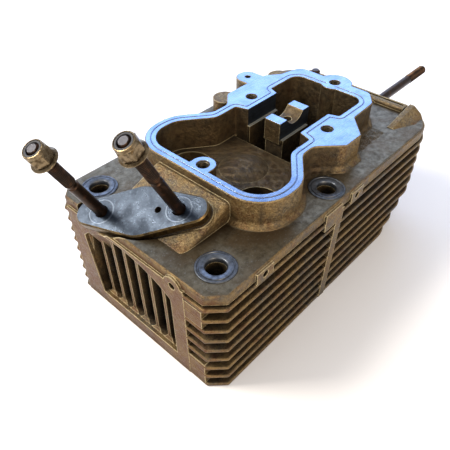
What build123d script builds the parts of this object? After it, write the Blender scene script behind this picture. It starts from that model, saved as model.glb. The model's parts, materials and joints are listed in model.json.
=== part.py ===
"""Air-cooled diesel cylinder head, bare of its valve gear, as separate pieces.

Millimetres. +Z is up and z = 0 is the flat gasket face underneath.
The origin is on the cylinder axis, at the mouth of the recess for the cylinder.
+X runs to the push-rod end, -X to the cooling-air window with the tilted injector flange.
"""
from build123d import *
import math
import os

# ---- driving dimensions -----------------------------------------------------------------
BOLT_XY = [(-56.5, 54.7), (46.0, 60.0)]  # head bolts, each mirrored in y
BOLT_HOLE_R = 6.5                      # clearance for M12
SEAT_RING_R, SEAT_RING_T = 12.7, 3.0   # steel ring under each head bolt

DECK_Z = 90.0                          # machined top deck
RIM_Z = 110.5                          # rocker-cover joint face
DECK_T = 7.5                           # deck slab
FIN_COUNT = 9                          # side fins, the lowest being the base edge
FIN_PITCH = 9.75
FIN_T = 2.8
FIN_DEPTH = 13.0
FIN_EDGE = 1.25                        # rounding of a fin's edge
BODY_X0 = -79.5                        # air-inlet face
BODY_X1 = 181.0                        # push-rod end at deck height
BASE_X1 = 150.0                        # push-rod end at the gasket face
BODY_Y = 76.0                          # half width over the fins
DECK_INSET = 1.6                       # deck edge behind the fin tips
CORNER = 10.0                          # corner chamfers at the inlet face
END_RADIUS = 28.0                      # round corners at the push-rod end
END_INSET = 1.2                        # the plain end wall stands this far behind the fin tips

SPIGOT_R, SPIGOT_DEPTH = 56.0, 5.0     # recess that takes the top of the cylinder
SEAL_RING = (55.0, 50.0, 1.0)          # sealing ring in the recess floor: radii, thickness
ROOF_Z = SPIGOT_DEPTH

DECK_EDGE, FOOT_RADIUS, RIM_EDGE = 1.6, 4.5, 0.5
RIM_WALL = 7.3
RIM_LINE, RIM_LINE_W, RIM_LINE_DEEP = 3.2, 0.8, 0.25   # gasket line round the joint face
LOBE_R = 19.0                          # inside radius of each valve lobe
CHAMBER_FLOOR = 86.0
WELL_FLOOR = 50.0                      # push-rod well
WELL_X0 = 57.0
MILLED = 2.0                           # depth of the milled rocker faces
LEDGE_Z = 96.5                         # lower edge of the milled rocker faces

COVER_SCREW_XY = [(-10.5, 0.0), (78.7, 35.0), (78.7, -35.0), (141.0, 0.0)]
COVER_HOLE_R, COVER_INSERT_R, COVER_HOLE_DEPTH = 3.4, 4.6, 16.0
EAR_XY, EAR_R = (102.0, 59.0), 9.5

PEDESTAL = (61.0, 96.0, 7.0)           # x from, x to, half width
SHAFT_R, SHAFT_X = 10.5, 78.7          # rocker-shaft saddle

VALVE_XY = (8.0, 22.0)                 # valve centre at the roof, mirrored in y
VALVE_LEAN = 7.0                       # degrees, outwards
SEAT_R, THROAT_R, SEAT_H = 17.0, 14.0, 7.0
GUIDE_R, STEM_R = 7.0, 4.0
GUIDE_FROM, GUIDE_TO = 28.0, 73.0
POCKET_R, POCKET_FLOOR = 15.5, 62.0    # spring pocket, measured up the valve axis
SPRING_SEAT_T = 1.2
PORT_R, PORT_Z = 14.0, 28.0
EXHAUST_X, INTAKE_X = 8.0, 84.0        # where the two ports leave on the +Y side
FLANGE_BOLTS, FLANGE_Y = 50.0, 78.5    # port flange stud spacing, face

REGISTER_R, REGISTER_DEPTH = 17.0, 3.0 # recess for the pipe's sealing ring at each port

PUSHROD_X, PUSHROD_Y, PUSHROD_R = 118.0, 14.0, 10.0
SEAL_W, SEAL_Z = 2.0, 4.0              # push-rod tube seal: section and height

TILT, TURN = 26.0, 31.5                # injector flange: lean and turn, degrees
FLANGE_ORIGIN = (-59.4, 8.0, 98.0)     # middle of the cover plate's top face
PLATE_T, GASKET_T = 6.0, 1.0
PLATE_R, PLATE_END_R, PLATE_HALF = 18.0, 9.0, 37.0
STUD_AT, STUD_R, STUD_TOP, STUD_IN = 27.0, 4.0, 70.0, 18.0
TAP_R, STUD_TIP = 3.4, 1.2             # screwed-in end of an M8 stud, chamfer of its free end
VENT_AT, VENT_R = 13.0, 2.2
SLEEVE_R, SLEEVE_BORE, TIP_R, TIP_BORE = 12.5, 11.0, 8.0, 4.5
NUT_AF, NUT_H, NUT_BOTTOM, NUT_BORE = 13.0, 9.5, 60.0, 4.05
WASHER_R, WASHER_T = 8.6, 1.8
INSERT_R, INSERT_H = 5.5, 2.4

SLOT_COUNT, SLOT_W, SLOT_PITCH = 7, 9.6, 12.2
SLOT_Y0, SLOT_Z0, SLOT_TOP, SLOT_DROP = 4.2, 12.0, 80.0, 11.0
SLOT_X1 = -28.0                        # how deep the cooling-air slots go
WINDOW_DEPTH = 4.5                     # the webs between the slots stand back from the frame

COWL_STUD_Y, COWL_STUD_Z, COWL_STUD_OUT = -20.0, 84.0, 86.0
DECK_STUD_XY, DECK_STUD_TOP = (158.0, 30.0), 106.0


# ---- helpers ----------------------------------------------------------------------------
def rounded(corners):
    """A closed face through corners given as (x, y, radius)."""
    points = [(x, y) for x, y, _ in corners]
    radii = [r for _, _, r in corners]
    return make_face(FilletPolyline(*points, radius=radii, close=True))


def upright(face, low, high):
    """Extrude a plan face from one height to another."""
    return extrude(Pos(0, 0, low) * face, high - low)


def block(x0, x1, y0, y1, z0, z1):
    """A box from its limits."""
    return Pos((x0 + x1) / 2, (y0 + y1) / 2, (z0 + z1) / 2) * Box(x1 - x0, y1 - y0, z1 - z0)


def rod(place, radius, low, high):
    """A cylinder along the local z of a place."""
    return place * Pos(0, 0, (low + high) / 2) * Cylinder(radius, high - low)


def ring(place, outer, inner, low, high):
    """A flat ring or a sleeve."""
    return rod(place, outer, low, high) - rod(place, inner, low - 1, high + 1)


def along_y(x, z):
    """A place whose local z is +Y."""
    return Plane(origin=(x, 0, z), x_dir=(1, 0, 0), z_dir=(0, 1, 0)).location


def along_x(y, z):
    """A place whose local z is +X."""
    return Plane(origin=(0, y, z), x_dir=(0, 1, 0), z_dir=(1, 0, 0)).location


def valve_place(side):
    """The valve axis: side is +1 for the exhaust, -1 for the intake."""
    lean = math.radians(VALVE_LEAN)
    up = (0, side * math.sin(lean), math.cos(lean))
    return Plane(origin=(VALVE_XY[0], side * VALVE_XY[1], ROOF_Z), x_dir=(1, 0, 0), z_dir=up).location


def flange_place():
    """Injector flange: local z is its normal, local x its long axis."""
    lean, turn = math.radians(TILT), math.radians(TURN)
    normal = (-math.sin(lean), 0, math.cos(lean))
    long_axis = (
        math.sin(turn) * math.cos(lean),
        -math.cos(turn),
        math.sin(turn) * math.sin(lean),
    )
    return Plane(origin=FLANGE_ORIGIN, x_dir=long_axis, z_dir=normal).location


FLANGE = flange_place()
BOLTS = [(x, side * y) for x, y in BOLT_XY for side in (-1, 1)]


# ---- the casting ------------------------------------------------------------------------
def body_outline(x1, inset):
    """Plan of the body: chamfered at the inlet face, round at the push-rod end."""
    x0, y = BODY_X0 + inset, BODY_Y - inset
    end, radius = x1 - inset, END_RADIUS - inset
    return rounded([
        (x0, -y + CORNER, 2), (x0 + CORNER, -y, 2), (end, -y, radius),
        (end, y, radius), (x0 + CORNER, y, 2), (x0, y - CORNER, 2),
    ])


def end_at(z):
    """How far the push-rod end reaches at a height."""
    return min(BASE_X1 + z, BODY_X1)


def fins():
    """The side fins, one thin plate each, with rounded edges."""
    plates = []
    for k in range(FIN_COUNT):
        z = k * FIN_PITCH
        outline = body_outline(end_at(z), 0)
        plate = upright(outline, z, z + FIN_T)
        plates.append(fillet(plate.edges().filter_by(Plane.XY), FIN_EDGE))
    return plates


def core():
    """The solid middle of the casting inside the fins."""
    low = upright(body_outline(end_at(0), FIN_DEPTH), 0, FIN_PITCH)
    high = upright(body_outline(end_at(2 * FIN_PITCH), FIN_DEPTH), FIN_PITCH, DECK_Z)
    return low + high


def inner_outline():
    """Inside of the rocker box: two lobes, a waist, the rocker faces and the square well."""
    half = [
        (-14.5, 53, LOBE_R), (14, 53, LOBE_R), (38, 34, 12), (59, 34, 2), (62, 24, 1),
        (96, 24, 1), (99, 32, 2), (132, 32, 9),
    ]
    mirrored = [(x, -y, r) for x, y, r in reversed(half)]
    return rounded(half + mirrored)


def outer_outline():
    """Outside of the rocker box."""
    lobe_r = LOBE_R + RIM_WALL
    return rounded([
        (-22, 60.5, lobe_r), (17, 60.5, lobe_r), (42, 41, 11), (57, 41, 8), (69, 52, 6),
        (94, 52, 3), (114, 50, 3), (124, 42, 6), (145, 37, 9), (145, -30, 8), (132, -40, 8),
        (105, -41, 4), (88, -57, 2), (70, -57, 2), (54, -41, 8), (42, -41, 11),
        (17, -60.5, lobe_r), (-22, -60.5, lobe_r),
    ])


def rim_outline():
    """The cover joint face: walls, the ear and the boss at the push-rod end."""
    ear = Pos(*EAR_XY) * Circle(EAR_R)
    web = Pos(EAR_XY[0], EAR_XY[1] - 8) * Rectangle(2 * EAR_R, 16)
    boss = Pos(*COVER_SCREW_XY[3]) * Circle(14)
    return outer_outline() + ear + web + boss


def is_wall_foot(edge):
    """True for an edge where the rocker wall meets the deck."""
    middle = edge.center()
    return abs(middle.Z - DECK_Z) < 0.01 and abs(middle.Y) < 64 and -30 < middle.X < 160


def deck_and_rocker_wall():
    """The deck slab with the rocker wall standing on it out of a generous cast radius."""
    slab = upright(body_outline(BODY_X1, DECK_INSET), DECK_Z - DECK_T, DECK_Z)
    slab = fillet(slab.edges().group_by(Axis.Z)[-1], DECK_EDGE)
    solid = slab + upright(outer_outline(), DECK_Z - 2, RIM_Z)
    solid = fillet(solid.edges().filter_by(is_wall_foot), FOOT_RADIUS)
    solid += upright(rim_outline(), DECK_Z - 2, RIM_Z)
    return chamfer(solid.edges().group_by(Axis.Z)[-1], RIM_EDGE)


def deck_bosses():
    """Round bosses behind the rocker box and the double bead along the end."""
    round_bosses = [
        rod(Pos(75, 60, 0), 9.5, DECK_Z - DECK_T, RIM_Z - 8),
        rod(Pos(136, 52, 0), 10, DECK_Z - DECK_T, RIM_Z - 9),
        rod(Pos(*DECK_STUD_XY, 0), 8, DECK_Z - DECK_T, DECK_Z),
    ]
    lip = block(169.5, 179.2, -49, 48, DECK_Z - 2, DECK_Z + 3.5)
    lip = fillet(lip.edges().filter_by(Axis.Y).group_by(Axis.Z)[-1], 2)
    groove = block(173.8, 176.4, -47, 44, DECK_Z + 0.8, DECK_Z + 6)
    return round_bosses + [lip - groove]


def corner_horn():
    """The cast lug that rises out of the deck towards the near corner of the push-rod end."""
    sections = []
    for x, peak, foot in ((142, 0.6, 58), (160, 4.5, 67), (175, 6.5, 66.5)):
        profile = Polyline(
            (-foot, DECK_Z - 3), (-foot, DECK_Z - 0.5), (-56, DECK_Z + peak),
            (-52, DECK_Z + peak), (-50, DECK_Z - 1), (-50, DECK_Z - 3), close=True,
        )
        sections.append(Plane(origin=(x, 0, 0), x_dir=(0, 1, 0), z_dir=(1, 0, 0)) * make_face(profile))
    horn = loft(sections, ruled=True)
    return horn & upright(body_outline(BODY_X1, DECK_INSET), 0, RIM_Z)


def end_wall():
    """The plain wall round the push-rod end, into which the side fins die away."""
    low, high = body_outline(BASE_X1, END_INSET), body_outline(BODY_X1, END_INSET)
    slope_top = BODY_X1 - BASE_X1
    wall = loft([low, Pos(0, 0, slope_top) * high]) + upright(high, slope_top, DECK_Z - 1)
    keep = Polyline((140, -1), (200, -1), (200, 91), (163, 91), (163, 34), close=True)
    return wall & extrude(Plane.XZ.offset(90) * make_face(keep), -180)


def inlet_frame():
    """The flat frame round the cooling-air window and its small cast pads."""
    frame = block(BODY_X0, BODY_X0 + 16, -50, 62, 0, DECK_Z - DECK_T + 1)
    upper_pad = block(BODY_X0 + 0.3, BODY_X0 + 14, -64, -49, 62, 77)
    lower_pad = block(BODY_X0 + 0.3, BODY_X0 + 14, -64, -49, 2, 23)
    screw_boss = rod(along_x(-41, 82), 7, BODY_X0, BODY_X0 + 12)
    return [frame, upper_pad, lower_pad, screw_boss]


def side_bosses():
    """Cast pads and the upright rib on the long finned side."""
    rib = Pos(38.5, -BODY_Y + 6, 42) * Rot(0, 4, 0) * Box(7, 12.4, 84)
    rib &= block(20, 60, -BODY_Y - 1, 0, 0, DECK_Z - 2)
    rib_head = block(24, 42, -BODY_Y - 0.2, -BODY_Y + 13, 74, DECK_Z - 2)
    near_pad = block(-45, -30, -BODY_Y, -BODY_Y + 13, 79, DECK_Z - 1.5)
    far_pad = block(54, 68, -BODY_Y, -BODY_Y + 13, 79, DECK_Z - 1.5)
    return [rib, rib_head, near_pad, far_pad]


def plate_outline(grow=0.0):
    """Lens-shaped two-stud flange outline."""
    middle = Circle(PLATE_R + grow)
    ends = [Pos(s * PLATE_HALF, 0) * Circle(PLATE_END_R + grow) for s in (-1, 1)]
    return make_hull((middle + ends[0] + ends[1]).edges())


def injector_boss():
    """The tilted boss under the flange, the sloping web behind it and the sleeve housing."""
    face = -PLATE_T - GASKET_T
    boss = FLANGE * extrude(Pos(0, 0, face) * plate_outline(1.0), -26)
    tube = rod(FLANGE, SLEEVE_R + 5, -108, face)
    profile = Polyline((-20, 104.5), (-24, 104.5), (-65, 89.5), (-65, 85), (-20, 85), close=True)
    web = extrude(Plane.XZ.offset(34) * make_face(profile), -64)
    web = fillet(web.edges().group_by(Axis.Y)[0].filter_by(GeomType.LINE).sort_by(Axis.Z)[-2:], 3)
    shell = block(BODY_X0, 10, -BODY_Y, BODY_Y, ROOF_Z, RIM_Z)
    return (boss + tube + web) & shell


def port_flanges():
    """The two flat port flanges on the +Y side."""
    flanges = []
    for x in (EXHAUST_X, INTAKE_X):
        face = along_y(x, PORT_Z)
        middle = Circle(21)
        ends = [Pos(s * FLANGE_BOLTS / 2, 0) * Circle(9) for s in (-1, 1)]
        outline = make_hull((middle + ends[0] + ends[1]).edges())
        root = BODY_Y - FIN_DEPTH - 2
        flanges.append(face * extrude(Pos(0, 0, root) * outline, FLANGE_Y - root))
    return flanges


def pedestal():
    """The rocker-shaft pedestal with its saddle and milled side."""
    x0, x1, half = PEDESTAL
    column = block(x0 + 2, x1 - 2, -half - MILLED, half, WELL_FLOOR - 2, LEDGE_Z)
    head = block(x0, x1, -half, half, LEDGE_Z - 3, RIM_Z)
    saddle = rod(along_y(SHAFT_X, RIM_Z + 4.5), SHAFT_R, -20, 20)
    return column + head - saddle


def rocker_ledges():
    """The cast wall left standing below the milled rocker faces."""
    return [
        block(62, 96, 24 - MILLED, 26, WELL_FLOOR - 2, LEDGE_Z),
        block(62, 96, -26, -24 + MILLED, WELL_FLOOR - 2, LEDGE_Z),
    ]


def air_window():
    """The arched recess in the inlet frame in which the webs between the slots stand."""
    outline = make_face(
        Polyline((47.5, 66), (41, SLOT_Z0), (-38.5, SLOT_Z0), (-38.5, 68))
        + Spline((-38.5, 68), (-18, 77.5), (3, 81), (27, 79), (47.5, 66))
    )
    face = Plane(origin=(BODY_X0 - 1, 0, 0), x_dir=(0, 1, 0), z_dir=(1, 0, 0))
    recess = extrude(face * outline, WINDOW_DEPTH + 1)
    back = recess.edges().group_by(Axis.X)[-1]
    return chamfer(back, 1.5)


def cooling_slots():
    """Tall round-ended air slots in the window, and the duct that leads the air out at +Y."""
    face = Plane(origin=(BODY_X0 + 1, 0, 0), x_dir=(0, 1, 0), z_dir=(1, 0, 0))
    middle = (SLOT_COUNT - 1) / 2
    cuts = [air_window()]
    for k in range(SLOT_COUNT):
        share = (k - middle) / middle
        top = SLOT_TOP - SLOT_DROP * share * share
        centre = Pos(SLOT_Y0 + share * middle * SLOT_PITCH, (SLOT_Z0 + top) / 2)
        slot = centre * SlotOverall(top - SLOT_Z0, SLOT_W, rotation=90)
        tool = extrude(face * slot, SLOT_X1 - BODY_X0 - 1)
        cuts.append(tool)
    cuts.append(block(SLOT_X1 - 16, SLOT_X1, -34, BODY_Y + 1, 14, 56))
    return cuts


def chamber():
    """Everything cut out from the cover joint face downwards."""
    inside = inner_outline()
    cuts = [upright(inside, CHAMBER_FLOOR, RIM_Z + 1)]
    cuts.append(upright(inside, WELL_FLOOR, RIM_Z + 1) & block(WELL_X0, 133, -33, 33, WELL_FLOOR, RIM_Z + 1))
    for side in (-1, 1):
        cuts.append(rod(valve_place(side), POCKET_R, POCKET_FLOOR, 84))
    return cuts


def chamber_bosses():
    """Screw bosses that stand into the chamber, and the cast hump between the lobes."""
    near = rod(Pos(*COVER_SCREW_XY[0], 0), 8.5, CHAMBER_FLOOR - 2, RIM_Z)
    near_web = block(-18, -10, -8.5, 8.5, CHAMBER_FLOOR - 2, RIM_Z)
    far = rod(Pos(COVER_SCREW_XY[3][0] - 1, 0, 0), 10.5, WELL_FLOOR - 2, RIM_Z)
    hump = Pos(30, 0, CHAMBER_FLOOR - 24) * Sphere(30)
    hump &= block(12, WELL_X0, -22, 22, CHAMBER_FLOOR - 1, CHAMBER_FLOOR + 7)
    return [near, near_web, far, hump]


def ports():
    """Valve throats and the two port tunnels."""
    cuts = []
    for side in (-1, 1):
        place = valve_place(side)
        cuts.append(rod(place, SEAT_R, -6, SEAT_H))
        cuts.append(rod(place, THROAT_R, 0, 26))
        cuts.append(rod(place, GUIDE_R, 20, 80))
    y = VALVE_XY[1]
    cuts.append(rod(along_y(EXHAUST_X, PORT_Z), PORT_R, y, FLANGE_Y + 1))
    cuts.append(rod(along_x(-y, PORT_Z), PORT_R, VALVE_XY[0], INTAKE_X))
    cuts.append(rod(along_y(INTAKE_X, PORT_Z), PORT_R, -y, FLANGE_Y + 1))
    for x, yy in ((EXHAUST_X, y), (VALVE_XY[0], -y), (INTAKE_X, -y)):
        cuts.append(Pos(x, yy, PORT_Z) * Sphere(PORT_R))
    return cuts


def drilled_holes():
    """Machined holes and spot faces."""
    cuts = []
    for x, y in BOLTS:
        cuts.append(rod(Pos(x, y, 0), BOLT_HOLE_R, -1, DECK_Z + 30))
        cuts.append(rod(Pos(x, y, 0), SEAT_RING_R, DECK_Z - SEAT_RING_T, DECK_Z + 12))
    for x, y in COVER_SCREW_XY:
        cuts.append(rod(Pos(x, y, 0), COVER_INSERT_R, RIM_Z - COVER_HOLE_DEPTH, RIM_Z + 1))
    cuts.append(rod(Pos(*EAR_XY, 0), 2.5, RIM_Z - 14, RIM_Z + 1))
    cuts.append(rod(Pos(SHAFT_X, 0, 0), 3.4, RIM_Z - 28, RIM_Z + 1))
    for side in (-1, 1):
        tube = Pos(PUSHROD_X, side * PUSHROD_Y, 0)
        cuts.append(rod(tube, PUSHROD_R, -1, WELL_FLOOR + 1))
        cuts.append(rod(tube, PUSHROD_R + SEAL_W, SEAL_Z, SEAL_Z + 3))
    cuts.append(rod(along_x(-41, 82), 2.6, BODY_X0 - 1, BODY_X0 + 14))
    cuts.append(rod(along_y(-37.5, 84.5), 2.4, -BODY_Y - 1, -BODY_Y + 12))
    cuts.append(rod(along_y(60.5, 84), 2.4, -BODY_Y - 1, -BODY_Y + 12))
    for x in (EXHAUST_X, INTAKE_X):
        cuts.append(rod(along_y(x, PORT_Z), REGISTER_R, FLANGE_Y - REGISTER_DEPTH, FLANGE_Y + 1))
        for s in (-1, 1):
            place = along_y(x + s * FLANGE_BOLTS / 2, PORT_Z)
            cuts.append(rod(place, TAP_R, FLANGE_Y - 18, FLANGE_Y + 1))
    cuts.append(rod(along_x(COWL_STUD_Y, COWL_STUD_Z), TAP_R, BODY_X1 - 24, BODY_X1 + 1))
    cuts.append(rod(Pos(*DECK_STUD_XY, 0), TAP_R, DECK_Z - 14, DECK_Z + 4))
    cuts.append(rod(Pos(0, 0, 0), SPIGOT_R, -1, SPIGOT_DEPTH))
    outer, inner, thick = SEAL_RING
    cuts.append(ring(Pos(0, 0, 0), outer, inner, SPIGOT_DEPTH - 1, SPIGOT_DEPTH + thick))
    return cuts


def gasket_line():
    """The shallow line milled round the middle of the joint face."""
    inside = inner_outline()
    line = offset(inside, RIM_LINE + RIM_LINE_W) - offset(inside, RIM_LINE)
    clear = [Pos(x, y) * Circle(COVER_INSERT_R + 2.2) for x, y in COVER_SCREW_XY]
    return upright(line - clear, RIM_Z - RIM_LINE_DEEP, RIM_Z + 1)


def injector_holes():
    """The sleeve bore, its narrow tip and the two stud holes in the tilted boss."""
    face = -PLATE_T - GASKET_T
    cuts = [rod(FLANGE, SLEEVE_R, -84, 6), rod(FLANGE, TIP_R, -112, -80)]
    for s in (-1, 1):
        cuts.append(rod(FLANGE * Pos(s * STUD_AT, 0, 0), TAP_R, face - STUD_IN, 2))
    clearance = FLANGE * extrude(Pos(0, 0, face) * plate_outline(2.0), 12)
    return cuts + [clearance]


def head_casting():
    """The aluminium casting."""
    solid = core()
    solid += fins()
    solid += inlet_frame()
    solid += side_bosses()
    solid += port_flanges()
    solid -= cooling_slots()
    solid += deck_and_rocker_wall()
    solid += deck_bosses()
    solid += [corner_horn(), end_wall()]
    solid += injector_boss()
    solid += rod(along_x(COWL_STUD_Y, COWL_STUD_Z), 7.5, BODY_X1 - 26, BODY_X1)
    solid -= chamber()
    solid += [pedestal()] + rocker_ledges() + chamber_bosses()
    solid -= injector_holes()
    solid -= ports()
    solid -= drilled_holes()
    solid -= gasket_line()
    return solid


# ---- pressed-in and fitted pieces -------------------------------------------------------
def valve_guide(side):
    """A pressed bronze guide."""
    return chamfer(
        ring(valve_place(side), GUIDE_R, STEM_R, GUIDE_FROM, GUIDE_TO).edges().group_by(Axis.Z)[-1], 0.8
    )


def valve_seat(side):
    """A shrunk-in seat ring with its 45 degree face, machined flush with the roof."""
    place = valve_place(side)
    cone = place * Pos(0, 0, 1.5) * Cone(SEAT_R - 0.8, THROAT_R - 1, 3.0)
    seat = ring(place, SEAT_R, THROAT_R - 1, 1, SEAT_H) - cone
    return seat - rod(Pos(0, 0, 0), SPIGOT_R, -1, ROOF_Z)


def both_valves(outer, inner, low, high):
    """The same ring on each valve axis, as two solids."""
    return Compound(children=[ring(valve_place(s), outer, inner, low, high) for s in (-1, 1)])


def stud(place, low, face, high):
    """A stud screwed in from low up to the face, with a chamfered free end."""
    free = Pos(0, 0, (face + high) / 2) * Cylinder(STUD_R, high - face)
    free = chamfer(free.edges().group_by(Axis.Z)[-1], STUD_TIP)
    return place * (free + Pos(0, 0, (low + face) / 2) * Cylinder(TAP_R, face - low))


def injector_sleeve():
    """The sleeve that carries the injector down to the roof."""
    face = -PLATE_T - GASKET_T
    body = rod(FLANGE, SLEEVE_R, -84, face) + rod(FLANGE, TIP_R, -98, -84)
    return body - rod(FLANGE, SLEEVE_BORE, -80, face + 1) - rod(FLANGE, TIP_BORE, -100, -78)


def cover_plate():
    """The lens-shaped plate that slides on the two long studs."""
    plate = extrude(Pos(0, 0, -PLATE_T) * plate_outline(), PLATE_T)
    plate = chamfer(plate.edges().group_by(Axis.Z)[-1], 0.9)
    for x, radius in ((-STUD_AT, STUD_R + 0.5), (STUD_AT, STUD_R + 0.5), (VENT_AT, VENT_R)):
        plate -= Pos(x, 0, 0) * Cylinder(radius, 3 * PLATE_T)
    return FLANGE * plate


def flange_gasket():
    """The thin gasket under the plate."""
    sheet = extrude(Pos(0, 0, -PLATE_T - GASKET_T) * plate_outline(), GASKET_T)
    for x, radius in ((-STUD_AT, STUD_R + 0.3), (STUD_AT, STUD_R + 0.3), (0, SLEEVE_BORE)):
        sheet -= Pos(x, 0, -PLATE_T) * Cylinder(radius, 4)
    return FLANGE * sheet


def lock_nut(place):
    """A hexagon nut with a round collar that grips the locking ring."""
    hexagon = extrude(RegularPolygon(NUT_AF / 2, 6, major_radius=False), NUT_H - 2)
    dome = Pos(0, 0, NUT_H / 2) * Cylinder(NUT_AF / 2 + 0.9, NUT_H)
    dome = chamfer(dome.edges().group_by(Axis.Z)[-1], 1.8)
    collar = Pos(0, 0, NUT_H - 1.5) * Cylinder(INSERT_R + 0.8, 3)
    body = (hexagon & dome) + collar
    body -= Pos(0, 0, NUT_H / 2) * Cylinder(NUT_BORE, NUT_H + 2)
    body -= Pos(0, 0, NUT_H - INSERT_H / 2 + 0.05) * Cylinder(INSERT_R, INSERT_H + 0.1)
    return place * Pos(0, 0, NUT_BOTTOM) * body


def locking_ring(place):
    """The nylon ring in the top of the nut."""
    low = NUT_BOTTOM + NUT_H - INSERT_H
    return ring(place, INSERT_R, NUT_BORE, low, NUT_BOTTOM + NUT_H)


def captive_washer(place):
    """The dished washer held under the nut."""
    disc = ring(place, WASHER_R, STUD_R + 0.1, NUT_BOTTOM - WASHER_T, NUT_BOTTOM)
    return chamfer(disc.edges().filter_by(GeomType.CIRCLE).group_by(SortBy.RADIUS)[-1], 0.6)


def port_studs(x):
    """The pair of studs in one port flange, as two solids."""
    places = [along_y(x + s * FLANGE_BOLTS / 2, PORT_Z) for s in (-1, 1)]
    return Compound(children=[stud(p, FLANGE_Y - 18, FLANGE_Y, FLANGE_Y + 24) for p in places])


def thread_inserts():
    """Steel sleeves in the four cover-screw holes."""
    low = RIM_Z - COVER_HOLE_DEPTH
    return Compound(children=[
        ring(Pos(x, y, 0), COVER_INSERT_R, COVER_HOLE_R, low, RIM_Z - 0.6)
        for x, y in COVER_SCREW_XY
    ])


def bolt_seat_rings():
    """Hard steel rings let into the deck under the head bolts."""
    rings = []
    for x, y in BOLTS:
        one = ring(Pos(x, y, 0), SEAT_RING_R, BOLT_HOLE_R, DECK_Z - SEAT_RING_T, DECK_Z + 0.6)
        rings.append(chamfer(one.edges().group_by(Axis.Z)[-1], 0.5))
    return Compound(children=rings)


def pushrod_seals():
    """Rubber rings that the push-rod tubes press into from below."""
    return Compound(children=[
        ring(Pos(PUSHROD_X, s * PUSHROD_Y, 0), PUSHROD_R + SEAL_W, PUSHROD_R, SEAL_Z, SEAL_Z + 3)
        for s in (-1, 1)
    ])


def nodes():
    """Every piece by its node name."""
    left, right = FLANGE * Pos(-STUD_AT, 0, 0), FLANGE * Pos(STUD_AT, 0, 0)
    face = -PLATE_T - GASKET_T
    long_studs = [stud(place, face - STUD_IN, face, STUD_TOP) for place in (left, right)]
    cowl = along_x(COWL_STUD_Y, COWL_STUD_Z)
    seal_outer, seal_inner, seal_t = SEAL_RING
    guide_top = POCKET_FLOOR + SPRING_SEAT_T
    return {
        "head_casting": head_casting(),
        "intake_valve_guide": valve_guide(-1),
        "exhaust_valve_guide": valve_guide(1),
        "guide_snap_rings": both_valves(GUIDE_R + 1.6, GUIDE_R, guide_top, guide_top + 1.2),
        "spring_seat_washers": both_valves(POCKET_R - 0.7, GUIDE_R, POCKET_FLOOR, guide_top),
        "intake_valve_seat": valve_seat(-1),
        "exhaust_valve_seat": valve_seat(1),
        "cylinder_seal_ring": ring(
            Pos(0, 0, 0), seal_outer, seal_inner, SPIGOT_DEPTH, SPIGOT_DEPTH + seal_t
        ),
        "injector_sleeve": injector_sleeve(),
        "injector_tip_washer": ring(FLANGE, SLEEVE_BORE, TIP_BORE, -80, -78.5),
        "flange_gasket": flange_gasket(),
        "cover_plate": cover_plate(),
        "injector_studs": Compound(children=long_studs),
        "left_nut": lock_nut(left),
        "right_nut": lock_nut(right),
        "left_nut_locking_ring": locking_ring(left),
        "right_nut_locking_ring": locking_ring(right),
        "left_nut_washer": captive_washer(left),
        "right_nut_washer": captive_washer(right),
        "bolt_seat_rings": bolt_seat_rings(),
        "cover_thread_inserts": thread_inserts(),
        "exhaust_port_studs": port_studs(EXHAUST_X),
        "intake_port_studs": port_studs(INTAKE_X),
        "cowl_stud": stud(cowl, BODY_X1 - 24, BODY_X1, BODY_X1 + COWL_STUD_OUT),
        "deck_stud": stud(Pos(*DECK_STUD_XY, 0), DECK_Z - 14, DECK_Z, DECK_STUD_TOP),
        "pushrod_tube_seals": pushrod_seals(),
    }


os.makedirs("parts", exist_ok=True)
for name, shape in nodes().items():
    export_step(shape, f"parts/{name}.step")
    print(name, round(shape.volume / 1000, 1), "cm3")
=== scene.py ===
"""Finishes, fine parts and a studio for an air-cooled diesel cylinder head.

Laid out as an add-on and run as a script. Lengths in the tables are millimetres and reach
the meshes in metres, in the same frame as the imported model.
"""
import json
import math

import bmesh
import bpy
from bpy.props import FloatProperty, FloatVectorProperty, IntProperty
from mathutils import Matrix, Vector


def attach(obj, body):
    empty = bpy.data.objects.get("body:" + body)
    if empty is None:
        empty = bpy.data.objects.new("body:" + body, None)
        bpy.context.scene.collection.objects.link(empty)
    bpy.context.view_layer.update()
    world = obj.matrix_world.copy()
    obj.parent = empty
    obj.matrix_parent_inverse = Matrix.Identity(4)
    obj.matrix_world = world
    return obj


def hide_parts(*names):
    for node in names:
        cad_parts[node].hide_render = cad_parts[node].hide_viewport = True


bl_info = {
    "name": "Air-Cooled Cylinder Head",
    "version": (1, 0, 0),
    "blender": (4, 5, 0),
    "location": "3D View > Sidebar > Cylinder Head",
    "description": "Fine parts and finishes of a finned diesel cylinder head, and a studio for it",
    "category": "Object",
}

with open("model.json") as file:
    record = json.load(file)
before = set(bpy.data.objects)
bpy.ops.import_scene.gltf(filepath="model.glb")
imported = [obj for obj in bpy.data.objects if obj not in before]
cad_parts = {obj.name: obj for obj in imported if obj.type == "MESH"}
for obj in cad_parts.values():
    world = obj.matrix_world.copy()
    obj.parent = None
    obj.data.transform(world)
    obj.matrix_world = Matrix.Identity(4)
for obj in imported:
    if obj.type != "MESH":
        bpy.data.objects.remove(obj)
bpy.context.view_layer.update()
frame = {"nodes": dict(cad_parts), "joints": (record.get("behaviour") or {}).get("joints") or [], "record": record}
MM = 0.001
RECORD = frame["record"]
JOINTS = {joint["name"]: joint for joint in frame["joints"]}
MOUNTS = {mount["name"]: mount for mount in RECORD["mounts"]}


# ---- places read from the frame ---------------------------------------------------------
def place(origin, axis, across=(0, 1, 0)):
    """A matrix whose z runs along axis from origin."""
    z = Vector(axis).normalized()
    x = Vector(across).cross(z)
    if x.length < 0.1:
        x = Vector((1, 0, 0)).cross(z)
    x.normalize()
    turn = Matrix((x, z.cross(x), z)).transposed().to_4x4()
    return Matrix.Translation(Vector(origin)) @ turn


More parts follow.
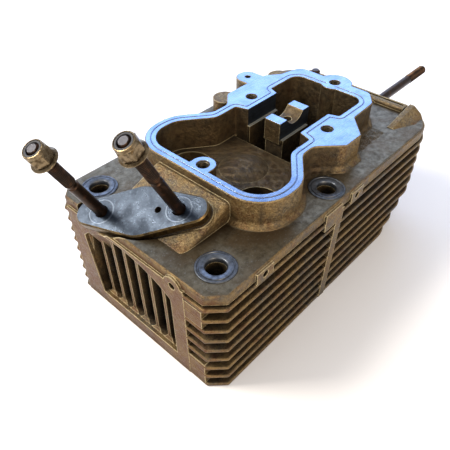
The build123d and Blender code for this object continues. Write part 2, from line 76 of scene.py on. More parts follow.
FLANGE_AXIS = Vector(JOINTS["cover_plate_slide"]["axis"])
NUT_FOOT = {side: Vector(JOINTS[side + "_nut_turn"]["pos_m"]) for side in ("left", "right")}
DECK_Z = MOUNTS["head_bolts_inlet_end"]["pos_m"][2]
RIM_Z = MOUNTS["cover_joint_face"]["pos_m"][2]


def bolt_places():
    """The four head-bolt holes on the deck, from the two stated pairs."""
    found = []
    for name in ("head_bolts_inlet_end", "head_bolts_pushrod_side"):
        mount = MOUNTS[name]
        half = mount["dims"]["spacing_y_mm"] / 2 * MM
        middle = Vector(mount["pos_m"])
        found += [middle + Vector((0, side * half, 0)) for side in (-1, 1)]
    return found


def cover_screw_places():
    """The four cover-screw holes in the rim, from the long and the cross pair."""
    long_pair, cross_pair = MOUNTS["cover_screws_long"], MOUNTS["cover_screws_cross"]
    along = Vector((long_pair["dims"]["spacing_x_mm"] / 2 * MM, 0, 0))
    across = Vector((0, cross_pair["dims"]["spacing_y_mm"] / 2 * MM, 0))
    middle, cross = Vector(long_pair["pos_m"]), Vector(cross_pair["pos_m"])
    return [middle - along, middle + along, cross - across, cross + across]


# ---- sizes and colours that a user would change -----------------------------------------
class HeadSizes(bpy.types.PropertyGroup):
    """Sizes of the fine parts."""

    stud_radius: FloatProperty(
        name="Stud radius", description="Crest radius of the threads on the M8 studs",
        default=3.97 * MM, unit="LENGTH", precision=5,
    )
    thread_pitch: FloatProperty(
        name="Thread pitch", description="Height of one turn of the M8 thread",
        default=1.25 * MM, unit="LENGTH", precision=5,
    )
    nut_across_flats: FloatProperty(
        name="Nut across flats", description="Spanner size of the lock nuts",
        default=13.0 * MM, unit="LENGTH", precision=5,
    )
    lathe_steps: IntProperty(
        name="Lathe steps", description="Facets round a turned piece", default=72, min=24, max=180,
    )


def colour_property(name, description, value):
    """A colour property whose default is an sRGB hex value."""
    return FloatVectorProperty(
        name=name, description=description, default=linear(value), subtype="COLOR",
        size=3, min=0, max=1,
    )


def linear(value):
    """Linear RGB of an sRGB hex colour."""
    parts = [int(value[i:i + 2], 16) / 255 for i in (1, 3, 5)]
    return tuple(c / 12.92 if c <= 0.04045 else ((c + 0.055) / 1.055) ** 2.4 for c in parts)


class HeadColours(bpy.types.PropertyGroup):
    """Base colours of the main finishes."""

    cast_skin: colour_property("Cast skin", "Aged gravity-cast aluminium", "#76603c")
    cast_rust: colour_property("Rust stain", "Red-brown stain on the cast skin", "#5d3a22")
    # Painted shade: the near-black below darkens the fin gaps and corners where shade falls.
    cast_gap_shade: colour_property("Painted gap shade", "Painted shade in the gaps and corners", "#120d08")
    milled: colour_property("Milled aluminium", "Bright machined joint faces", "#7b8ea6")
    deck: colour_property("Deck", "Dull machined deck", "#746a56")
    stud: colour_property("Stud", "Blackened steel with oil on it", "#2a1d14")
    nut: colour_property("Nut", "Tarnished zinc plate", "#7d6c52")
    plate: colour_property("Cover plate", "Milled plate alloy", "#3f4854")


# ---- mesh helpers -----------------------------------------------------------------------
def sizes():
    return bpy.context.scene.head_sizes


def lathe(profile, closed=True, steps=None):
    """A bmesh turned about z from (radius, height) points in millimetres."""
    bm = bmesh.new()
    line = [bm.verts.new((r * MM, 0, z * MM)) for r, z in profile]
    pairs = list(zip(line, line[1:])) + ([(line[-1], line[0])] if closed else [])
    edges = [bm.edges.new(pair) for pair in pairs]
    bmesh.ops.spin(
        bm, geom=line + edges, cent=(0, 0, 0), axis=(0, 0, 1), angle=math.tau,
        steps=steps or sizes().lathe_steps, use_merge=True,
    )
    bmesh.ops.remove_doubles(bm, verts=bm.verts, dist=1e-7)
    bmesh.ops.recalc_face_normals(bm, faces=bm.faces)
    return bm


def helix_ridge(bm, radius, height, low, high, pitch, steps=20, inward=False):
    """Add a closed triangular ridge that winds about z: a screw thread."""
    sign = -1 if inward else 1
    root, crest = radius - sign * 0.05, radius + sign * height
    section = [(root, low - 0.42 * pitch), (crest, low), (root, low + 0.42 * pitch)]
    verts = [bm.verts.new((r * MM, 0, z * MM)) for r, z in section]
    edges = [bm.edges.new((verts[i], verts[(i + 1) % 3])) for i in range(3)]
    turns = (high - low) / pitch
    count = round(turns * steps)
    made = bmesh.ops.spin(
        bm, geom=verts + edges, cent=(0, 0, 0), axis=(0, 0, 1), angle=math.tau * turns,
        dvec=(0, 0, (high - low) * MM / count), steps=count, use_merge=False,
    )
    last = [g for g in made["geom_last"] if isinstance(g, bmesh.types.BMVert)]
    caps = [bm.faces.new(verts), bm.faces.new(last)]
    bmesh.ops.recalc_face_normals(bm, faces=bm.faces)
    return caps


def finish_piece(name, bm, body, material, where=None, stands_for=(), sharp=38):
    """Turn a bmesh into a piece that rides on a body, with its place in its mesh."""
    if where is not None:
        bm.transform(where)
    limit = math.radians(sharp)
    for edge in bm.edges:
        edge.smooth = edge.calc_face_angle(0) < limit
    for face in bm.faces:
        face.smooth = True
    mesh = bpy.data.meshes.new(name)
    bm.to_mesh(mesh)
    bm.free()
    piece = bpy.data.objects.new(name, mesh)
    bpy.context.scene.collection.objects.link(piece)
    mesh.materials.append(material)
    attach(piece, body)
    if stands_for:
        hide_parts(*stands_for)
    return piece


def join_into(bm, other, matrix=None):
    """Add another bmesh to bm."""
    if matrix is not None:
        other.transform(matrix)
    mesh = bpy.data.meshes.new("join")
    other.to_mesh(mesh)
    other.free()
    bm.from_mesh(mesh)
    bpy.data.meshes.remove(mesh)


# ---- material helpers -------------------------------------------------------------------
def put(tree, kind, inputs=None, **settings):
    """Add a node with its settings, and give or link its inputs."""
    node = tree.nodes.new(kind)
    for key, value in settings.items():
        setattr(node, key, value)
    for key, value in (inputs or {}).items():
        socket = node.inputs[key]
        if isinstance(value, bpy.types.NodeSocket):
            tree.links.new(value, socket)
        else:
            socket.default_value = value
    return node


def per_mm(size):
    """The scale that gives a pattern features of a size in millimetres."""
    return 1 / (size * MM)


def rgba(colour):
    return (*(linear(colour) if isinstance(colour, str) else colour), 1.0)


class Surface:
    """A node material being built: coordinates, patterns, masks and colour mixing."""

    def __init__(self, name):
        self.material = bpy.data.materials.new(name)
        self.material.use_nodes = True
        self.tree = self.material.node_tree
        self.tree.nodes.clear()
        coordinates = self.put("ShaderNodeTexCoord")
        self.point, self.facing = coordinates.outputs["Object"], coordinates.outputs["Normal"]
        self.xyz = self.put("ShaderNodeSeparateXYZ", {0: self.point}).outputs
        self.way = self.put("ShaderNodeSeparateXYZ", {0: self.facing}).outputs

    def put(self, kind, inputs=None, **settings):
        return put(self.tree, kind, inputs, **settings)

    def math(self, operation, a, b=0.0, clamp=False):
        return self.put("ShaderNodeMath", {0: a, 1: b}, operation=operation, use_clamp=clamp).outputs[0]

    def step(self, value, low, high, to_low=0.0, to_high=1.0):
        """Value mapped from one range to another, held at the ends."""
        node = self.put("ShaderNodeMapRange", {0: value, 1: low, 2: high, 3: to_low, 4: to_high})
        return node.outputs[0]

    def noise(self, size, detail=3.0, roughness=0.55, stretch=None):
        """Noise with features of a size in millimetres."""
        vector = self.point
        if stretch:
            inputs = {0: vector, 1: stretch}
            vector = self.put("ShaderNodeVectorMath", inputs, operation="MULTIPLY").outputs[0]
        inputs = {"Vector": vector, "Scale": per_mm(size), "Detail": detail, "Roughness": roughness}
        return self.put("ShaderNodeTexNoise", inputs).outputs["Fac"]

    def mix(self, share, a, b):
        """Colour a turned into colour b by a share."""
        inputs = {"Factor": share}
        node = self.put("ShaderNodeMix", inputs, data_type="RGBA")
        for socket, value in ((node.inputs[6], a), (node.inputs[7], b)):
            if isinstance(value, bpy.types.NodeSocket):
                self.tree.links.new(value, socket)
            else:
                socket.default_value = rgba(value)
        return node.outputs[2]

    def both(self, *masks):
        result = masks[0]
        for mask in masks[1:]:
            result = self.math("MULTIPLY", result, mask)
        return result

    def bump(self, height, depth, normal=None, strength=1.0):
        """Relief of a depth in millimetres."""
        inputs = {"Height": height, "Distance": depth * MM, "Strength": strength}
        if normal is not None:
            inputs["Normal"] = normal
        return self.put("ShaderNodeBump", inputs).outputs[0]

    def worn_edge(self, radius, low=0.97, high=0.82):
        """1 on the sharp edges of the shape within a radius in millimetres, 0 on its faces."""
        rounded = self.put("ShaderNodeBevel", {"Radius": radius * MM}, samples=6).outputs[0]
        flat = self.put("ShaderNodeNewGeometry").outputs["Normal"]
        inputs = {0: rounded, 1: flat}
        dot = self.put("ShaderNodeVectorMath", inputs, operation="DOT_PRODUCT").outputs["Value"]
        return self.step(dot, low, high)

    def crevice(self, distance, samples=8):
        """1 in the open, falling to 0 deep in corners and gaps."""
        node = self.put("ShaderNodeAmbientOcclusion", {"Distance": distance * MM}, samples=samples)
        return node.outputs["AO"]

    def finish(self, colour, roughness, metallic, normal=None, **more):
        inputs = {"Base Color": rgba(colour) if not isinstance(colour, bpy.types.NodeSocket) else colour}
        inputs.update({"Roughness": roughness, "Metallic": metallic})
        if normal is not None:
            inputs["Normal"] = normal
        inputs.update(more)
        shader = self.put("ShaderNodeBsdfPrincipled", inputs)
        self.put("ShaderNodeOutputMaterial", {"Surface": shader.outputs[0]})
        return self.material


# ---- materials --------------------------------------------------------------------------
# Regions of the casting, in metres: where a soft border starts and where it is full.
CHAMBER_FROM, CHAMBER_TO, CHAMBER_SIDE = (-0.016, -0.0145), (0.134, 0.132), (0.0545, 0.0525)
ROCKER_FROM, ROCKER_TO = (0.060, 0.061), (0.0975, 0.0965)
SLOTS_FROM, SLOTS_TO, SLOTS_SIDE = (-0.0765, -0.070), (-0.020, -0.026), (0.051, 0.050)
SLOTS_LOW, SLOTS_HIGH = (0.0085, 0.0095), (0.0815, 0.0805)


def gravity_cast_aluminium():
    """Gravity-cast aluminium head: sandy golden skin, rust stain, painted shade in the fin gaps and corners,
    milled faces.
    """
    s = Surface("gravity_cast_aluminium")
    c = bpy.context.scene.head_colours
    x, y, z = s.xyz
    nx, ny, nz = s.way
    side = s.math("ABSOLUTE", y)
    # Skin: cloudy golden brown, redder where it has stood wet, with a sandy 1.1 mm grain.
    cloud, patch, fine = s.noise(30), s.noise(8, 5), s.noise(2.6, 4, 0.65)
    grain = s.noise(1.1, 2, 0.7)
    skin = s.mix(s.step(cloud, 0.4, 0.6), tuple(c.cast_skin), "#585146")
    skin = s.mix(s.step(patch, 0.48, 0.66, 0, 0.7), skin, tuple(c.cast_rust))
    skin = s.mix(s.step(fine, 0.4, 0.7, 0, 0.55), skin, "#a08656")
    skin = s.mix(s.step(grain, 0.3, 0.52, 0.6, 0), skin, "#2c2216")
    # Stain on the air-inlet face, which has stood nearest the hot exhaust air.
    inlet = s.both(s.step(nx, -0.5, -0.9), s.step(x, -0.070, -0.074), s.step(z, 0.089, 0.085))
    skin = s.mix(s.math("MULTIPLY", inlet, s.step(patch, 0.3, 0.6, 0.3, 0.85)), skin, "#5e3d27")
    # Painted shade: the gaps between fins and the chamber's corners are darkened by how occluded they are,
    # standing in for the shade that falls there.
    gap = s.crevice(15, 10)
    painted_gap_shade = s.step(gap, 0.22, 0.8, 1.0, 0.0)
    skin = s.mix(s.math("MULTIPLY", painted_gap_shade, 0.95), skin, tuple(c.cast_gap_shade))
    # The rocker chamber below the rim is darker than the outside, in blotches.
    inside = s.both(s.step(z, RIM_Z - 0.4 * MM, RIM_Z - 1.6 * MM), s.step(x, *CHAMBER_FROM),
                    s.step(x, *CHAMBER_TO), s.step(side, *CHAMBER_SIDE), s.step(z, 0.04, 0.05))
    chamber_blotch = s.step(s.noise(5, 4), 0.35, 0.7)
    skin = s.mix(s.math("MULTIPLY", inside, 0.7), skin, s.mix(chamber_blotch, "#2b241b", "#5b4d37"))
    # Painted highlight and wear: the open outer edges of fins and walls are lightened, partly rubbed bright by
    # handling and partly painted as the highlight that light puts on them.
    rubbed_and_highlit = s.both(s.worn_edge(1.1, 0.985, 0.85), s.step(gap, 0.2, 0.5), s.step(fine, 0.3, 0.5, 0.5, 1.0))
    skin = s.mix(rubbed_and_highlit, skin, "#cdbd94")
    # Coarse sand marks catch the light on the cast walls above the deck.
    sandy = s.both(s.step(z, DECK_Z + 0.4 * MM, DECK_Z + 2 * MM), s.step(s.noise(1.5, 2, 0.8), 0.5, 0.6))
    outside = s.math("SUBTRACT", 1.0, inside)
    skin = s.mix(s.math("MULTIPLY", s.both(sandy, outside, s.step(gap, 0.3, 0.8)), 0.42), skin, "#ab966a")
    # Painted shade: the cooling-air slots behind the inlet face are painted near black, darker further in, where
    # shade falls inside them.
    slots = s.both(s.step(x, *SLOTS_FROM), s.step(x, *SLOTS_TO), s.step(side, *SLOTS_SIDE),
                   s.step(z, *SLOTS_LOW), s.step(z, *SLOTS_HIGH), s.step(nx, -0.7, -0.3))
    skin = s.mix(s.math("MULTIPLY", slots, 0.93), skin, "#100a07")
    # Milled faces are told apart by their height and by facing straight up, down or along y.
    up, down = s.step(nz, 0.93, 0.97), s.step(nz, -0.93, -0.97)
    rim = s.both(up, s.step(z, RIM_Z - 0.5 * MM, RIM_Z - 0.3 * MM))
    on_deck = s.both(up, s.step(z, DECK_Z - 0.3 * MM, DECK_Z - 0.1 * MM),
                     s.step(z, DECK_Z + 0.3 * MM, DECK_Z + 0.1 * MM))
    sole = s.both(down, s.step(z, 0.3 * MM, 0.1 * MM))
    faces = s.both(s.step(s.math("ABSOLUTE", ny), 0.9, 0.96), s.step(z, 0.0966, 0.0969),
                   s.step(x, *ROCKER_FROM), s.step(x, *ROCKER_TO), s.step(side, 0.0265, 0.0262))
    ledge = s.both(s.step(z, 0.0942, 0.0948), s.step(z, 0.0985, 0.0979), s.step(x, *ROCKER_FROM),
                   s.step(x, *ROCKER_TO), s.step(side, 0.0245, 0.0240), s.step(nz, 0.2, 0.5))
    mottle = s.step(s.noise(5, 5, 0.65), 0.34, 0.66)
    deck_colour = s.mix(mottle, tuple(c.deck), "#4f4636")
    deck_colour = s.mix(s.step(s.noise(22, 4), 0.5, 0.62, 0, 0.6), deck_colour, "#5d4d38")
    deck_colour = s.mix(s.step(s.noise(1.3, 3, 0.7), 0.58, 0.72, 0, 0.5), deck_colour, "#8b8a84")
    # Painted shade: the deck darkens where it is occluded, next to the walls and bosses that rise from it.
    deck_colour = s.mix(s.step(s.crevice(9), 0.5, 0.95, 0.75, 0), deck_colour, "#46361f")
    streak = s.noise(1.1, 2, 0.6, (0.05, 1.0, 1.0))
    cloudy = s.step(s.noise(9, 4, 0.6), 0.4, 0.66)
    rim_colour = s.mix(s.math("MULTIPLY", cloudy, 0.8), tuple(c.milled), "#5f7596")
    rim_colour = s.mix(s.step(streak, 0.5, 0.72, 0, 0.5), rim_colour, "#93a2b6")
    line = s.both(s.step(z, RIM_Z - 0.05 * MM, RIM_Z - 0.15 * MM), rim)
    rim_colour = s.mix(s.math("MULTIPLY", line, 0.75), rim_colour, "#3f4f6b")
    colour = s.mix(on_deck, skin, deck_colour)
    colour = s.mix(rim, colour, rim_colour)
    colour = s.mix(sole, colour, s.mix(mottle, "#6e6c68", "#56514a"))
    colour = s.mix(faces, colour, s.mix(streak, "#2f353d", "#59626e"))
    colour = s.mix(s.math("MULTIPLY", ledge, 0.85), colour, "#a9a89c")
    # Machined metal is smooth with fine tool lines; the cast skin is dull with a broken sheen.
    milled = s.math("MAXIMUM", s.math("MAXIMUM", rim, on_deck), s.math("MAXIMUM", sole, faces))
    rough = s.step(fine, 0.3, 0.7, 0.34, 0.6)
    rough = s.math("ADD", rough, s.math("MULTIPLY", painted_gap_shade, 0.2))
    rough = s.put("ShaderNodeMix", {0: milled, 2: rough, 3: s.step(mottle, 0, 1, 0.36, 0.5)}).outputs[0]
    rough = s.put("ShaderNodeMix", {0: rim, 2: rough, 3: s.step(streak, 0.3, 0.7, 0.2, 0.32)}).outputs[0]
    rounded = s.put("ShaderNodeBevel", {"Radius": 0.8 * MM}, samples=6).outputs[0]
    sand = s.math("ADD", grain, s.math("MULTIPLY", s.noise(3.4, 3), 1.1))
    sand = s.math("MULTIPLY", s.step(milled, 0, 1, 1.0, 0.05), sand)
    normal = s.bump(sand, 0.75, rounded, 0.8)
    # Cutter marks run in arcs across the rough-milled chamber floor.
    floor = s.both(inside, s.step(nz, 0.6, 0.9), s.step(z, 0.094, 0.0925))
    swept = {"Vector": s.point, "Scale": 0.5 / (2.6 * MM) / math.tau * 2, "Distortion": 4.0,
             "Detail": 2.0, "Detail Scale": 60.0}
    rings = s.put("ShaderNodeTexWave", swept, wave_type="RINGS", rings_direction="Z").outputs["Fac"]
    rows = s.put("ShaderNodeTexWave", swept, wave_type="BANDS", bands_direction="DIAGONAL").outputs["Fac"]
    arcs = s.math("MULTIPLY", rings, rows)
    normal = s.bump(s.math("MULTIPLY", arcs, floor), 0.7, normal, 0.9)
    metal = s.step(milled, 0, 1, 0.68, 0.95)
    return s.finish(colour, rough, metal, normal)


def facing_share(s, axis, low=0.9, high=0.97):
    """1 where the surface faces along an axis of the piece."""
    inputs = {0: s.facing, 1: tuple(axis)}
    dot = s.put("ShaderNodeVectorMath", inputs, operation="DOT_PRODUCT").outputs["Value"]
    return s.step(dot, low, high)


def blackened_stud_steel():
    """Blackened steel studs with old oil: nearly black brown, rusty patches, bare grey ends."""
    s = Surface("blackened_stud_steel")
    c = bpy.context.scene.head_colours
    worn = s.step(s.noise(3.5, 4), 0.48, 0.7, 0, 0.75)
    colour = s.mix(worn, tuple(c.stud), "#533622")
    colour = s.mix(s.step(s.noise(14, 3), 0.52, 0.7, 0, 0.6), colour, "#120e0b")
    colour = s.mix(s.math("MULTIPLY", s.worn_edge(0.25), 0.5), colour, "#7a6a58")
    colour = s.mix(facing_share(s, FLANGE_AXIS), colour, "#55555a")
    normal = s.bump(s.noise(0.5, 2), 0.08)
    return s.finish(colour, s.step(worn, 0, 0.75, 0.3, 0.5), 0.8, normal)


def tarnished_zinc():
    """Zinc-plated nuts gone brown: warm grey with brighter worn edges and painted shade in the corners."""
    s = Surface("tarnished_zinc_plate")
    c = bpy.context.scene.head_colours
    stain = s.step(s.noise(3.2, 3), 0.42, 0.62)
    colour = s.mix(stain, tuple(c.nut), "#4b3d29")
    # Painted shade: the nut darkens where it is occluded, in its corners and against its neighbours.
    colour = s.mix(s.step(s.crevice(3), 0.4, 0.9, 0.8, 0), colour, "#1a130c")
    colour = s.mix(s.math("MULTIPLY", s.worn_edge(0.4), 0.8), colour, "#c3b08a")
    rounded = s.put("ShaderNodeBevel", {"Radius": 0.4 * MM}, samples=4).outputs[0]
    normal = s.bump(s.noise(0.7, 2), 0.05, rounded)
    return s.finish(colour, s.step(stain, 0, 1, 0.22, 0.4), 0.92, normal)


def stud_distance(s, side):
    """Distance from a long stud's axis, for marks that a washer leaves round it and for painted shade round the
    nut.
    """
    foot = NUT_FOOT[side]
    away = s.put("ShaderNodeVectorMath", {0: s.point, 1: tuple(foot)}, operation="SUBTRACT").outputs[0]
    inputs = {0: away, 1: tuple(FLANGE_AXIS)}
    across = s.put("ShaderNodeVectorMath", inputs, operation="CROSS_PRODUCT").outputs[0]
    return s.put("ShaderNodeVectorMath", {0: across}, operation="LENGTH").outputs["Value"]


def milled_plate_alloy():
    """Cover plate: blue-grey milled top with clamp rings round the studs, brown dull edge."""
    s = Surface("milled_plate_alloy")
    c = bpy.context.scene.head_colours
    top = facing_share(s, FLANGE_AXIS)
    cloud = s.step(s.noise(9, 5, 0.6), 0.36, 0.64)
    milled = s.mix(cloud, tuple(c.plate), "#2c333d")
    milled = s.mix(s.step(s.noise(1.8, 3, 0.65), 0.54, 0.72, 0, 0.4), milled, "#5f6b7a")
    near = s.math("MINIMUM", stud_distance(s, "left"), stud_distance(s, "right"))
    band = s.both(s.step(near, 0.0078, 0.0081), s.step(near, 0.0092, 0.0088))
    milled = s.mix(s.math("MULTIPLY", band, 0.25), milled, "#8d9aab")
    # Painted shade: the plate darkens towards each stud, where the washer and nut shade it.
    milled = s.mix(s.step(near, 0.0085, 0.0055, 0, 0.55), milled, "#1f2835")
    edge = s.mix(s.step(s.noise(3, 3), 0.35, 0.7), "#6e5a36", "#33271a")
    edge = s.mix(s.math("MULTIPLY", s.worn_edge(0.8), 0.8), edge, "#b3a276")
    colour = s.mix(top, edge, milled)
    rough = s.put("ShaderNodeMix", {0: top, 2: 0.38, 3: s.step(cloud, 0, 1, 0.26, 0.42)}).outputs[0]
    normal = s.bump(s.math("ADD", s.noise(0.8, 3), s.math("MULTIPLY", band, 1.5)), 0.09)
    return s.finish(colour, rough, 0.9, normal)


def plain_metal(name, light, dark, size, rough, metallic=0.95, relief=0.03):
    """A turned or pressed metal with a two-tone stain of a size in millimetres."""
    s = Surface(name)
    stain = s.step(s.noise(size, 4), 0.35, 0.68)
    colour = s.mix(stain, light, dark)
    # Painted shade: the metal darkens where it is occluded, in corners and against neighbouring parts.
    colour = s.mix(s.step(s.crevice(4), 0.35, 0.9, 0.6, 0), colour, "#17120d")
    normal = s.bump(s.noise(0.4, 2), relief)
    return s.finish(colour, s.step(stain, 0, 1, rough, rough + 0.16), metallic, normal)


def dull_polymer(name, light, dark, rough):
    """Nylon, fibre or rubber: no metal, slightly uneven."""
    s = Surface(name)
    colour = s.mix(s.step(s.noise(1.6, 3), 0.4, 0.65), light, dark)
    return s.finish(colour, rough, 0.0, s.bump(s.noise(0.5, 3), 0.05))


MATERIALS = {
    "cast_aluminium": gravity_cast_aluminium,
    "stud_steel": blackened_stud_steel,
    "nut_steel": tarnished_zinc,
    "plate_alloy": milled_plate_alloy,
    "guide_bronze": lambda: plain_metal("drawn_guide_bronze", "#a08350", "#6b5230", 3, 0.28),
    "spring_steel": lambda: plain_metal("blued_spring_steel", "#45464c", "#2b2724", 2, 0.3),
    "hard_steel": lambda: plain_metal("ground_hard_steel", "#6c7178", "#484c52", 3, 0.36),
    "seat_iron": lambda: plain_metal("sintered_seat_iron", "#6f6c69", "#4b4642", 2.5, 0.34),
    "soft_steel": lambda: plain_metal("rolled_soft_steel", "#8c8a86", "#6b6259", 6, 0.32),
    "copper_washer": lambda: plain_metal("annealed_copper", "#b8734f", "#7b4630", 3, 0.3),
    "insert_steel": lambda: plain_metal("passivated_insert_steel", "#5d5548", "#2a241c", 1.5, 0.38),
    "nylon_ring": lambda: dull_polymer("dark_nylon", "#26262a", "#17171a", 0.38),
    "gasket_fibre": lambda: dull_polymer("pressed_gasket_fibre", "#1c1814", "#2c261f", 0.7),
    "seal_rubber": lambda: dull_polymer("oil_proof_rubber", "#1a1a1a", "#262524", 0.5),
}
made_materials = {}


def material(slot):
    """The finish of a record slot, made once."""
    if slot not in made_materials:
        made_materials[slot] = MATERIALS[slot]()
    return made_materials[slot]


# ---- pieces -----------------------------------------------------------------------------
SHANK_BELOW_CREST, THREAD_DEPTH = 0.12, 0.62   # millimetres under the crest radius
TAPPED_R, STUD_REACH = 3.6, 6                  # screwed-in part and one stud's own points


def threaded_stud(low, face, high, threads):
    """A stud from low to high, screwed in up to face, with threads over (from, to) stretches."""
    crest = sizes().stud_radius / MM
    pitch = sizes().thread_pitch / MM
    shank, root = crest - SHANK_BELOW_CREST, crest - THREAD_DEPTH
    neck = root - 0.1
    profile = [(0, low), (neck - 0.8, low), (neck, low + 0.9), (neck, face), (shank, face), (shank, face + 1)]
    at = face + 1
    for start, stop in threads:
        if start > at + 1:
            profile += [(shank, start - 1.4), (root, start - 0.8)]
        at = stop
    profile += [(root, high - 0.8), (root - 0.6, high), (0, high)]
    bm = lathe([p for i, p in enumerate(profile) if i == 0 or p != profile[i - 1]], closed=False)
    for start, stop in threads:
        helix_ridge(bm, root, crest - root, max(start, low) + 1.2, min(stop, high) - 1.2, pitch)
    return bm


def flange_place(side):
    """The stud axis on one side of the tilted flange: z runs along the stud from the nut's seat."""
    return place(NUT_FOOT[side], FLANGE_AXIS)


def node_span(node, where):
    """Lowest and highest point of a CAD node along a place's own z, in millimetres."""
    back = where.inverted()
    heights = [(back @ v.co).z for v in frame["nodes"][node].data.vertices]
    return min(heights) / MM, max(heights) / MM


def tapped_face(node, where):
    """Height, in millimetres along a place's own z, at which a stud leaves its tapped hole."""
    back = where.inverted()
    points = [(back @ v.co) / MM for v in frame["nodes"][node].data.vertices]
    near = [p for p in points if math.hypot(p.x, p.y) < STUD_REACH]
    middle = (min(p.z for p in near) + max(p.z for p in near)) / 2
    return max(p.z for p in near if p.z < middle and math.hypot(p.x, p.y) < TAPPED_R)


def lock_nut():
    """A hexagon nut with chamfered corners and a turned collar that holds the nylon ring."""
    flat = sizes().nut_across_flats / 2 / MM
    corner = flat / math.cos(math.pi / 6)
    bore, ring_seat, chamfer_top, side_height, rows = 4.05, 5.5, 0.75, 5.6, 8
    rings = [(bore, 0), (4.6, 0), (flat + 0.2, 0), (corner, chamfer_top)]
    rings += [(corner, chamfer_top + side_height * i / rows) for i in range(1, rows + 1)]
    rings += [(flat + 0.1, 7.2), (6.45, 7.25), (6.4, 8.9), (6.05, 9.42), (5.62, 9.5)]
    rings += [(ring_seat, 9.2), (ring_seat, 7.1), (bore, 7.1)]
    bm = lathe(rings, steps=96)
    for vert in bm.verts:
        radius = math.hypot(vert.co.x, vert.co.y) / MM
        angle = math.atan2(vert.co.y, vert.co.x) % (math.pi / 3) - math.pi / 6
        limit = flat / math.cos(angle)
        if radius > limit and vert.co.z < 7.22 * MM:
            vert.co.x *= limit / radius
            vert.co.y *= limit / radius
    return bm


class HEAD_OT_casting(bpy.types.Operator):
    """Give the casting and the plain fitted nodes their finishes"""

    bl_idname = "head.casting"
    bl_label = "Finish the Casting"

    def execute(self, context):
        slots = {part["node"]: part["material_slot"] for part in RECORD["subparts"]}
        for node, piece in frame["nodes"].items():
            piece.data.materials.clear()
            piece.data.materials.append(material(slots[node]))
        return {"FINISHED"}


class HEAD_OT_long_studs(bpy.types.Operator):
    """Turn the two long injector studs with real threads on their free ends"""

    bl_idname = "head.long_studs"
    bl_label = "Make Injector Studs"

    def execute(self, context):
        pieces = []
        for side in ("left", "right"):
            where = flange_place(side)
            top = node_span(side + "_nut_locking_ring", where)[1]
            low = node_span("injector_studs", where)[0]
            face = tapped_face("injector_studs", where)
            bm = threaded_stud(low, face, top + 0.4, [(top - 36, top + 0.4)])
            join_into(pieces[0], bm, where) if pieces else (bm.transform(where), pieces.append(bm))
        finish_piece("injector_stud_pair", pieces[0], "head", material("stud_steel"),
                     stands_for=["injector_studs"])
        return {"FINISHED"}


class HEAD_OT_nuts(bpy.types.Operator):
    """Make the lock nuts, their nylon rings and the dished washers under them"""

    bl_idname = "head.nuts"
    bl_label = "Make Lock Nuts"

    def execute(self, context):
        ring = [(4.0, 7.1), (5.5, 7.1), (5.5, 9.0), (5.2, 9.3), (4.3, 9.3), (4.0, 9.0)]
        washer = [(4.1, -1.8), (8.1, -1.8), (8.55, -1.3), (8.5, -0.9), (7.2, -0.15), (6.6, 0), (4.1, 0)]
        for side, turn in (("left", 0.5), ("right", 0.12)):
            where = flange_place(side) @ Matrix.Rotation(turn, 4, "Z")
            finish_piece(side + "_hexagon_nut", lock_nut(), side + "_nut",
                         material("nut_steel"), where, [side + "_nut"])
            finish_piece(side + "_nylon_ring", lathe(ring), side + "_nut",
                         material("nylon_ring"), where, [side + "_nut_locking_ring"])
            finish_piece(side + "_dished_washer", lathe(washer), side + "_washer",
                         material("nut_steel"), where, [side + "_nut_washer"])
        return {"FINISHED"}


class HEAD_OT_short_studs(bpy.types.Operator):
    """Turn the port, cowl and deck studs with threads over their free ends"""

    bl_idname = "head.short_studs"
    bl_label = "Make Short Studs"

    def execute(self, context):
        deck = MOUNTS["deck_stud_pin"]
        cowl = MOUNTS["cowl_stud_pin"]
        self.turn("deck_stud_turned", "deck_stud", [Vector(deck["pos_m"])], deck, 11)
        self.turn("cowl_stud_turned", "cowl_stud", [Vector(cowl["pos_m"])], cowl, 30)
        for port in ("exhaust", "intake"):
            mount = MOUNTS[port + "_flange_studs"]
            half = Vector((mount["dims"]["pcd_mm"] / 2 * MM, 0, 0))
            middle = Vector(mount["pos_m"])
            self.turn(port + "_studs_turned", port + "_port_studs", [middle - half, middle + half], mount, 20)
        return {"FINISHED"}

    def turn(self, name, node, middles, mount, thread):
        whole = None
        for middle in middles:
            where = place(middle, mount["axis"], (0, 0, 1) if mount["axis"][2] == 0 else (0, 1, 0))
            low, high = node_span(node, where)
            bm = threaded_stud(low, tapped_face(node, where), high, [(high - thread, high)])
            if whole is None:
                whole = bm
                whole.transform(where)
            else:
                join_into(whole, bm, where)
        finish_piece(name, whole, "head", material("stud_steel"), stands_for=[node])


class HEAD_OT_rings(bpy.types.Operator):
    """Turn the head-bolt seat rings and the cover-screw thread inserts"""

    bl_idname = "head.rings"
    bl_label = "Make Rings and Inserts"

    def execute(self, context):
        seat = [(6.5, -3), (12.7, -3), (12.7, 0.2), (12.4, 0.5), (11.5, 0.5), (11.2, 0.1), (10.5, 0.1),
                (10.2, 0.55), (7.2, 0.55), (6.9, 0.3), (6.5, -0.2)]
        self.repeat("seat_rings_turned", "bolt_seat_rings", seat, bolt_places(), "hard_steel")
        coil = [(4.6, -15.4), (4.6, 0)]
        turns = 12
        for k in range(turns):
            top = -15.4 * k / turns
            coil += [(3.9, top - 0.05), (3.45, top - 0.6), (3.9, top - 1.2)]
        places = cover_screw_places()
        self.repeat("screw_inserts_turned", "cover_thread_inserts", coil, places, "insert_steel")
        return {"FINISHED"}

    def repeat(self, name, node, profile, places, slot):
        whole = None
        for at in places:
            bm = lathe(profile)
            if whole is None:
                whole = bm
                whole.transform(Matrix.Translation(at))
            else:
                join_into(whole, bm, Matrix.Translation(at))
        finish_piece(name, whole, "head", material(slot), stands_for=[node], sharp=50)


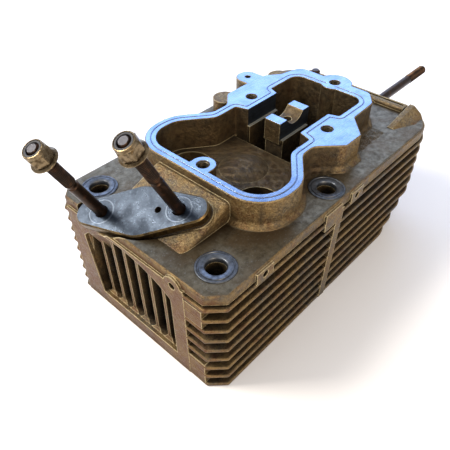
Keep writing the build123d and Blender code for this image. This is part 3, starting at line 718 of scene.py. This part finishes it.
class HEAD_OT_stage(bpy.types.Operator):
    """Build the pale floor, the soft lights and the camera"""

    bl_idname = "head.stage"
    bl_label = "Build the Studio"

    def execute(self, context):
        self.floor()
        self.lights()
        self.camera()
        return {"FINISHED"}

    def floor(self):
        bm = bmesh.new()
        bmesh.ops.create_grid(bm, x_segments=1, y_segments=1, size=6.0)
        mesh = bpy.data.meshes.new("studio_floor")
        bm.to_mesh(mesh)
        bm.free()
        floor = bpy.data.objects.new("studio_floor", mesh)
        bpy.context.scene.collection.objects.link(floor)
        s = Surface("matt_white_paper")
        mesh.materials.append(s.finish("#fbfbfb", 0.9, 0.0))

    def area(self, name, at, target, size, power, colour="#ffffff"):
        lamp = bpy.data.lights.new(name, "AREA")
        lamp.shape, lamp.size, lamp.size_y = "RECTANGLE", size[0], size[1]
        lamp.energy, lamp.color = power, linear(colour)
        lamp_object = bpy.data.objects.new(name, lamp)
        lamp_object.location = at
        lamp_object.rotation_euler = (Vector(target) - Vector(at)).to_track_quat("-Z", "Y").to_euler()
        bpy.context.scene.collection.objects.link(lamp_object)

    def lights(self):
        middle = (0.05, 0.0, 0.08)
        self.area("window_band", (0.93, 0.95, 0.86), middle, (1.7, 0.55), 13, "#a9c8ff")
        self.area("left_softbox", (-0.75, 0.85, 1.25), middle, (0.5, 0.5), 26, "#fff6ea")
        self.area("front_fill", (-0.6, -1.5, 0.75), middle, (0.9, 0.6), 15, "#ffe2bd")
        world = bpy.data.worlds.new("pale_studio")
        bpy.context.scene.world = world
        world.use_nodes = True
        back = world.node_tree.nodes["Background"]
        back.inputs["Color"].default_value = rgba("#f7f9ff")
        back.inputs["Strength"].default_value = 0.72
        # Plain display colours: the default film-like curve would grey the white paper.
        bpy.context.scene.view_settings.view_transform = "Standard"

    def camera(self):
        lens = bpy.data.cameras.new("bench_camera")
        lens.lens, lens.sensor_width = 39.48, 36.0
        lens.shift_x, lens.shift_y = -0.0011, 0.0306
        lens.clip_start = 0.01
        camera = bpy.data.objects.new("bench_camera", lens)
        camera.location = (-0.19239, -0.18934, 0.29711)
        camera.rotation_euler = [math.radians(a) for a in (45.953, 0.424, -47.324)]
        bpy.context.scene.collection.objects.link(camera)
        bpy.context.scene.camera = camera


OPERATORS = [
    HEAD_OT_casting, HEAD_OT_long_studs, HEAD_OT_nuts, HEAD_OT_short_studs, HEAD_OT_rings, HEAD_OT_stage,
]


class HEAD_PT_panel(bpy.types.Panel):
    """The head's steps, in order"""

    bl_idname = "HEAD_PT_panel"
    bl_label = "Cylinder Head"
    bl_space_type = "VIEW_3D"
    bl_region_type = "UI"
    bl_category = "Cylinder Head"

    def draw(self, context):
        for group in (context.scene.head_sizes, context.scene.head_colours):
            for name in group.bl_rna.properties.keys():
                if name not in ("rna_type", "name"):
                    self.layout.prop(group, name)
        for operator in OPERATORS:
            self.layout.operator(operator.bl_idname)


CLASSES = [HeadSizes, HeadColours, *OPERATORS, HEAD_PT_panel]


def register():
    for cls in CLASSES:
        bpy.utils.register_class(cls)
    bpy.types.Scene.head_sizes = bpy.props.PointerProperty(type=HeadSizes)
    bpy.types.Scene.head_colours = bpy.props.PointerProperty(type=HeadColours)


def unregister():
    del bpy.types.Scene.head_colours
    del bpy.types.Scene.head_sizes
    for cls in reversed(CLASSES):
        bpy.utils.unregister_class(cls)


def main():
    register()
    for operator in OPERATORS:
        group, name = operator.bl_idname.split(".")
        getattr(getattr(bpy.ops, group), name)()


if __name__ == "__main__":
    main()
